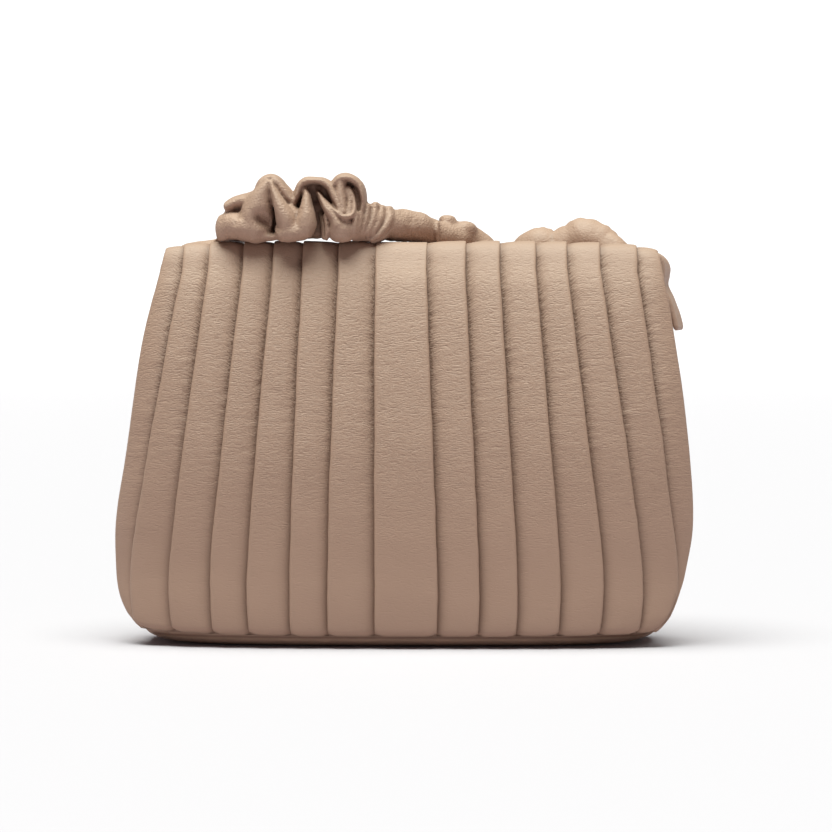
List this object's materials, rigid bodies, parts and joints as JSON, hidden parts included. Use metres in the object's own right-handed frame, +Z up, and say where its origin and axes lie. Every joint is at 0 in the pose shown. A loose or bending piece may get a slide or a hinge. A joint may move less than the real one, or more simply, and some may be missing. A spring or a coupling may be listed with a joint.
{
  "type": "quilted crossbody bag",
  "caption": "Soft leather bag with a full-front flap of outward knife pleats, rounded lower corners and a short gathered strap resting along its top.",
  "frame": {"origin": "middle of the base, on the ground", "axes": "+X to the viewer's right along the bag's width, the pleated front faces -Y, +Z up"},
  "size_m": [0.2598, 0.0971, 0.212],
  "materials": {
    "leather": "soft grained beige leather with a low satin sheen"
  },
  "bodies": {
    "root": {"base_panel": "leather", "front_panel": "leather", "gusset_right": "leather", "back_panel": "leather", "gusset_left": "leather", "flap": "leather", "strap_tab_right": "leather", "strap_tab_left": "leather", "strap": "leather"}
  },
  "joints": []
}
